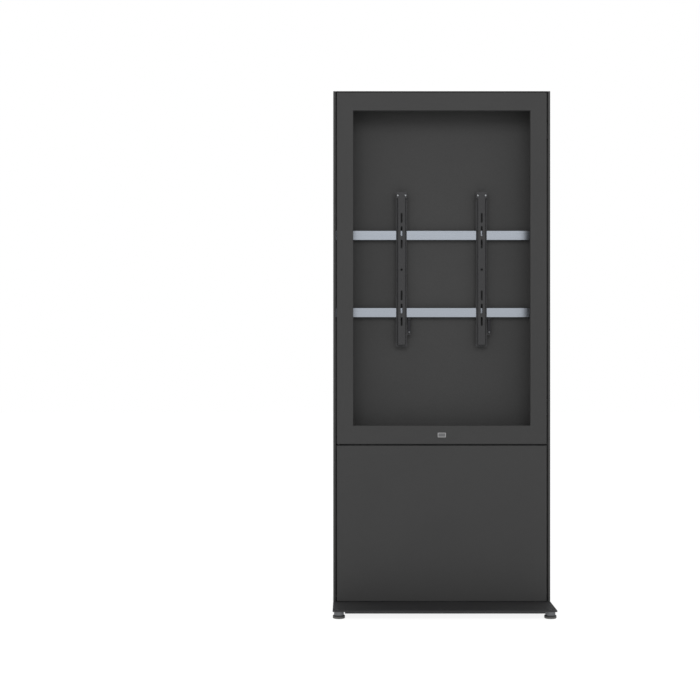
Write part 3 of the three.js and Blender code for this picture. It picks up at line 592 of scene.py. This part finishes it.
feet = {
    "bossBore": 0.0063, "bossEdge": 0.0008, "bossSegments": 3,
    "shankRadius": 0.006, "threadRoot": 0.0052, "threadPitch": 0.00175,
    "discRadius": 0.0192, "discTop": 0.011, "discEdge": 0.0012, "discSlope": 1.6,
    "socketAcross": 0.006, "socketDepth": 0.006, "topChamfer": 0.0008,
    "padWall": 0.003, "padFloor": 0.005, "padRim": 0.0024, "padSole": 0.0012, "padSegments": 5,
}
corners = [name.removeprefix("foot_pad_") for name in nodes if name.startswith("foot_pad_")]


def footBoss(nodeName):
    low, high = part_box(nodeName)
    radius = (high.x - low.x) / 2
    shape = turnedShape([
        (feet["bossBore"], low.z), (radius, low.z), (radius, high.z), (feet["bossBore"], high.z),
    ], closed=True)
    roundEdges(shape, feet["bossEdge"], segments=feet["bossSegments"])
    return shape


def footStud(nodeName):
    low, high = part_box(nodeName)
    socketRadius = feet["socketAcross"] / math.sqrt(3)
    socketFloor = high.z - feet["socketDepth"]
    root = feet["threadRoot"]
    neck = feet["discTop"] + feet["threadPitch"]
    shape = turnedShape([
        (0, low.z), (feet["discRadius"], low.z),
        (feet["discRadius"], feet["discTop"] - feet["discEdge"]),
        (feet["discRadius"] - feet["discEdge"] * feet["discSlope"], feet["discTop"]),
        (feet["shankRadius"], feet["discTop"]), (feet["shankRadius"], neck),
        (root, neck + feet["topChamfer"]), (root, high.z - feet["topChamfer"] / 2),
        (root - feet["topChamfer"] / 2, high.z), (socketRadius, high.z),
        (socketRadius, socketFloor), (0, socketFloor),
    ])
    makeSocketHexagonal(shape, feet["socketAcross"], socketFloor)
    threadLow = neck + feet["threadPitch"]
    threadHigh = high.z - feet["threadPitch"]
    addThread(shape, root, feet["shankRadius"], feet["threadPitch"], threadLow, threadHigh)
    return shape


def footPad(nodeName):
    low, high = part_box(nodeName)
    radius = (high.x - low.x) / 2
    innerRadius = radius - feet["padWall"]
    shape = turnedShape([
        (0, low.z), (radius - feet["padSole"], low.z), (radius, low.z + feet["padSole"]),
        (radius, high.z), (innerRadius, high.z), (innerRadius, low.z + feet["padFloor"]),
        (0, low.z + feet["padFloor"]),
    ])
    topEdges = [
        edge for edge in shape.edges
        if all(vert.co.z > high.z - nearEnough for vert in edge.verts)
        and all(math.hypot(vert.co.x, vert.co.y) > radius - nearEnough for vert in edge.verts)
    ]
    bevelEdges(shape, topEdges, feet["padRim"], feet["padSegments"])
    return shape


footKinds = {
    "boss": (footBoss, dullZincPlate),
    "stud": (footStud, dullZincPlate),
    "pad": (footPad, finishOf["foot_rubber"]),
}
for corner in corners:
    for kind, (makeShape, finish) in footKinds.items():
        nodeName = f"foot_{kind}_{corner}"
        shape = makeShape(nodeName)
        centre = centreOf(nodeName)
        layShape(shape, (0, 0, 1), (centre.x, centre.y, 0))
        standFor(shape, nodeName, [finish])
print("feet made:", len(corners))


# Pan-head screws with a hexagonal drive: at the arms' tops, on the latches and in the rails' ends

screws = {
    "driveShare": 0.38, "driveDepthShare": 0.5, "wallShare": 0.25, "shoulderShare": 0.93,
    "shoulderHeight": 0.62, "crownShare": 0.7, "steps": 48,
}
armScrews = {"shank": 0.002, "headHeight": 0.0024}
latchScrews = {"shank": 0.0025, "headHeight": 0.0024}
railScrews = {
    "inset": 0.016, "headRadius": 0.0052, "headHeight": 0.003, "shank": 0.003, "length": 0.014,
}


def panScrew(headRadius, headHeight, shankRadius, shankLength):
    driveAcross = headRadius * 2 * screws["driveShare"]
    socketRadius = driveAcross / math.sqrt(3)
    socketFloor = headHeight * (1 - screws["driveDepthShare"])
    shape = turnedShape([
        (0, -shankLength), (shankRadius, -shankLength), (shankRadius, 0), (headRadius, 0),
        (headRadius, headHeight * screws["wallShare"]),
        (headRadius * screws["shoulderShare"], headHeight * screws["shoulderHeight"]),
        (headRadius * screws["crownShare"], headHeight), (socketRadius, headHeight),
        (socketRadius, socketFloor), (0, socketFloor),
    ], steps=screws["steps"])
    makeSocketHexagonal(shape, driveAcross, socketFloor)
    return shape


def standForScrew(nodeName, sizes, finish):
    low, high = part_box(nodeName)
    centre = (low + high) / 2
    headRadius = (high.x - low.x) / 2
    seat = low.y + sizes["headHeight"]
    shape = panScrew(headRadius, sizes["headHeight"], sizes["shank"], high.y - seat)
    layShape(shape, (0, -1, 0), (centre.x, seat, centre.z))
    standFor(shape, nodeName, [finish])


for side in ("left", "right"):
    for end in ("a", "b"):
        standForScrew(f"arm_screw_{side}_{end}", armScrews, zincPlate)
    standForScrew(f"latch_screw_{side}", latchScrews, blackZincPlate)

for level in ("upper", "lower"):
    low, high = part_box(f"rail_{level}")
    for side, x in (("left", low.x + railScrews["inset"]), ("right", high.x - railScrews["inset"])):
        shape = panScrew(
            railScrews["headRadius"], railScrews["headHeight"], railScrews["shank"],
            railScrews["length"],
        )
        layShape(shape, (0, -1, 0), (x, low.y, (low.z + high.z) / 2))
        addPiece(shape, f"railScrew{level.capitalize()}{side.capitalize()}", "cabinet",
                 [zincPlate])
print("screws made")


# Pivots of the front frame and of the hatch: flanged pins with a rounded tip

pins = {
    "pinRadius": 0.0025, "flangeRadius": 0.0045, "flangeEdge": 0.0003, "leafGap": 0.0003,
    "tip": 0.0008, "tipShoulder": (0.6, 0.3), "tipFlat": 1.6, "steps": 40,
}
pivots = {
    "frame_pivot_upper": {"along": (0, 0, -1), "leaf": "front_frame"},
    "frame_pivot_lower": {"along": (0, 0, 1), "leaf": "front_frame"},
    "hatch_pivot_left": {"along": (1, 0, 0), "leaf": "rear_hatch"},
    "hatch_pivot_right": {"along": (-1, 0, 0), "leaf": "rear_hatch"},
}


def flangedPin(length, flangeThickness):
    inward, down = pins["tipShoulder"]
    return turnedShape([
        (0, 0), (pins["flangeRadius"] - pins["flangeEdge"], 0),
        (pins["flangeRadius"], pins["flangeEdge"]), (pins["flangeRadius"], flangeThickness),
        (pins["pinRadius"], flangeThickness), (pins["pinRadius"], length - pins["tip"]),
        (pins["pinRadius"] - pins["tip"] * inward, length - pins["tip"] * down),
        (pins["pinRadius"] - pins["tip"] * pins["tipFlat"], length), (0, length),
    ], steps=pins["steps"])


# The flange stops just short of the edge of the leaf that turns on the pin

for nodeName, pivot in pivots.items():
    low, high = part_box(nodeName)
    along = Vector(pivot["along"])
    length = abs((high - low).dot(along))
    start = min(low.dot(along), high.dot(along))
    leafEdge = min(corner.dot(along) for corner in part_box(pivot["leaf"]))
    shape = flangedPin(length, leafEdge - pins["leafGap"] - start)
    layShape(shape, along, (low + high) / 2 - along * length / 2)
    # The pins are near black: painted shade in the seams they sit in
    standFor(shape, nodeName, [blackenedSteel])
print("pivots made")


# Cam lock: housing with a domed rim, plug with a keyway, and the cam's screw

lock = {
    "bore": 0.0063, "headHeight": 0.0028, "rimWidth": 0.0016, "faceDrop": 0.0005,
    "edge": 0.0005, "edgeDrop": 0.0012, "edgeRound": 0.00025,
    "barrel": 0.009, "barrelRoot": 0.0084, "barrelPitch": 0.001, "threadSteps": 40,
    "plugRadius": 0.006, "plugEdge": 0.0004, "spindle": 0.003,
    "keyWidth": 0.0014, "keyHeight": 0.007, "keyDepth": 0.008, "keyRoundShare": 0.4,
    "keySegments": 3,
}
camScrewSizes = {
    "bore": 0.0033, "boreShare": 0.45, "crownShare": 0.86, "shoulderHeight": 0.72, "steps": 48,
}


def lockHousing():
    low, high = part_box("lock_housing")
    radius = (high.x - low.x) / 2
    length = high.y - low.y
    seat = length - lock["headHeight"]
    shape = turnedShape([
        (lock["bore"], 0), (lock["barrelRoot"], 0), (lock["barrelRoot"], seat),
        (radius, seat), (radius, length - lock["edgeDrop"]), (radius - lock["edge"], length),
        (radius - lock["rimWidth"], length),
        (radius - lock["rimWidth"] - lock["faceDrop"], length - lock["faceDrop"]),
        (lock["bore"], length - lock["faceDrop"]),
    ], closed=True)
    roundEdges(shape, lock["edgeRound"], angles["gentle"])
    addThread(shape, lock["barrelRoot"], lock["barrel"], lock["barrelPitch"],
              lock["barrelPitch"], seat - lock["barrelPitch"], lock["threadSteps"])
    layShape(shape, (0, 1, 0), ((low.x + high.x) / 2, low.y, (low.z + high.z) / 2))
    return shape


def lockPlug():
    low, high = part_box("lock_plug")
    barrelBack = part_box("lock_housing")[0].y - low.y
    length = high.y - low.y
    shape = turnedShape([
        (0, 0), (lock["spindle"], 0), (lock["spindle"], barrelBack),
        (lock["plugRadius"], barrelBack), (lock["plugRadius"], length - lock["plugEdge"]),
        (lock["plugRadius"] - lock["plugEdge"], length), (0, length),
    ])
    layShape(shape, (0, 1, 0), ((low.x + high.x) / 2, low.y, (low.z + high.z) / 2))
    return shape


def keyway():
    low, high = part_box("lock_plug")
    centre = (low + high) / 2
    shape = bmesh.new()
    size = (lock["keyWidth"], lock["keyDepth"] * 2, lock["keyHeight"])
    bmesh.ops.create_cube(shape, size=1.0, matrix=Matrix.Diagonal((*size, 1.0)))
    keyRound = lock["keyWidth"] * lock["keyRoundShare"]
    bevelEdges(shape, edgesAlong(shape, (0, 1, 0)), keyRound, lock["keySegments"])
    bmesh.ops.translate(shape, vec=(centre.x, high.y, centre.z), verts=shape.verts)
    # The keyway's walls are near black: painted shade in the slot
    for face in shape.faces:
        face.material_index = 1
    return shape


def camScrew():
    low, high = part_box("lock_cam_screw")
    radius = (high.x - low.x) / 2
    length = high.y - low.y
    boreTop = length * camScrewSizes["boreShare"]
    shape = turnedShape([
        (0, length), (radius * camScrewSizes["crownShare"], length),
        (radius, length * camScrewSizes["shoulderHeight"]), (radius, 0),
        (camScrewSizes["bore"], 0), (camScrewSizes["bore"], boreTop), (0, boreTop),
    ], steps=camScrewSizes["steps"])
    layShape(shape, (0, -1, 0), ((low.x + high.x) / 2, high.y, (low.z + high.z) / 2))
    return shape


standFor(lockHousing(), "lock_housing")
plugPiece = standFor(lockPlug(), "lock_plug", [finishOf["bright_lock"], blackenedSteel])
cutAway(plugPiece, keyway())
standFor(camScrew(), "lock_cam_screw")
print("lock made")


# Floor, which shows white to the camera and in reflections and keeps the object's shadow

stageLook = {
    "floorSize": 30.0, "floorShade": 0.95, "shadowDepth": 0.22, "floorWhite": 0.88,
    "wallLevel": 1.15, "ceilingLevel": 0.38, "wallHeight": 0.9,
}


def seenDirectly(tree):
    path = addNode(tree, "ShaderNodeLightPath")
    either = addNode(tree, "ShaderNodeMath", {"operation": "ADD"}, {
        0: path.outputs["Is Camera Ray"], 1: path.outputs["Is Glossy Ray"],
    })
    return addNode(tree, "ShaderNodeMath", {"operation": "ADD", "use_clamp": True}, {
        0: either.outputs[0], 1: path.outputs["Is Transmission Ray"],
    }).outputs[0]


def studioFloor():
    shape = bmesh.new()
    bmesh.ops.create_grid(shape, x_segments=1, y_segments=1, size=stageLook["floorSize"] / 2)
    mesh = bpy.data.meshes.new("studioFloor")
    shape.to_mesh(mesh)
    shape.free()
    floor = bpy.data.objects.new("studioFloor", mesh)
    bpy.context.scene.collection.objects.link(floor)
    material, tree = startMaterial("paleStudioFloor")
    shade = stageLook["floorShade"]
    plain = addNode(tree, "ShaderNodeBsdfDiffuse", inputs={"Color": (shade, shade, shade, 1.0)})
    depth = stageLook["shadowDepth"]
    shadowed = addNode(tree, "ShaderNodeBsdfDiffuse", inputs={"Color": (depth, depth, depth, 1.0)})
    glow = addNode(tree, "ShaderNodeEmission", inputs={
        "Color": white, "Strength": stageLook["floorWhite"],
    })
    shown = addNode(tree, "ShaderNodeAddShader", inputs={
        0: shadowed.outputs[0], 1: glow.outputs[0],
    })
    endMaterial(tree, addNode(tree, "ShaderNodeMixShader", inputs={
        0: seenDirectly(tree), 1: plain.outputs[0], 2: shown.outputs[0],
    }))
    mesh.materials.append(material)


def studioWorld():
    world = bpy.data.worlds.new("studioWorld")
    world.use_nodes = True
    tree = world.node_tree
    tree.nodes.clear()
    way = addNode(tree, "ShaderNodeTexCoord").outputs["Generated"]
    height = addNode(tree, "ShaderNodeSeparateXYZ", inputs={"Vector": way}).outputs["Z"]
    level = addNode(tree, "ShaderNodeMapRange", inputs={
        "Value": height, "From Min": 0.0, "From Max": stageLook["wallHeight"],
        "To Min": stageLook["wallLevel"], "To Max": stageLook["ceilingLevel"],
    }).outputs["Result"]
    light = addNode(tree, "ShaderNodeBackground", inputs={"Color": white, "Strength": level})
    backdrop = addNode(tree, "ShaderNodeBackground", inputs={"Color": white, "Strength": 1.0})
    mixed = addNode(tree, "ShaderNodeMixShader", inputs={
        0: seenDirectly(tree), 1: light.outputs[0], 2: backdrop.outputs[0],
    })
    addNode(tree, "ShaderNodeOutputWorld", inputs={"Surface": mixed.outputs[0]})
    bpy.context.scene.world = world


# Softboxes: two high in front, which light the window's depth and leave its top in shadow, and
# one at each side, a little behind. Size in metres and power in watts.

softboxes = {
    "key": {"place": (-1.2, -4.2, 3.8), "size": 2.0, "power": 37},
    "fill": {"place": (1.0, -4.2, 3.8), "size": 2.0, "power": 32},
    "sideLeft": {"place": (-4.2, 1.4, 3.4), "size": 2.4, "power": 40},
    "sideRight": {"place": (4.2, 1.4, 3.2), "size": 2.4, "power": 40},
}
aimPoint = Vector((0.0, 0.0, 0.95))


def studioLights():
    for name, box in softboxes.items():
        lamp = bpy.data.lights.new(name, "AREA")
        lamp.shape = "SQUARE"
        lamp.size = box["size"]
        lamp.energy = box["power"]
        holder = bpy.data.objects.new(name, lamp)
        aim = aimPoint - Vector(box["place"])
        holder.location = box["place"]
        holder.rotation_euler = aim.to_track_quat("-Z", "Y").to_euler()
        bpy.context.scene.collection.objects.link(holder)


# Camera: level, square to the front and left of the middle, as the photograph was taken

photoCamera = {"place": (-0.350, -4.888, 0.991), "lens": 65.2, "sensor": 36.0}


def studioCamera():
    lens = bpy.data.cameras.new("photoCamera")
    lens.lens = photoCamera["lens"]
    lens.sensor_width = photoCamera["sensor"]
    camera = bpy.data.objects.new("photoCamera", lens)
    camera.location = photoCamera["place"]
    camera.rotation_euler = (math.pi / 2, 0, 0)
    bpy.context.scene.collection.objects.link(camera)
    bpy.context.scene.camera = camera


studioFloor()
studioWorld()
studioLights()
studioCamera()
bpy.context.scene.view_settings.view_transform = "Standard"
print("stage, lights and camera made")
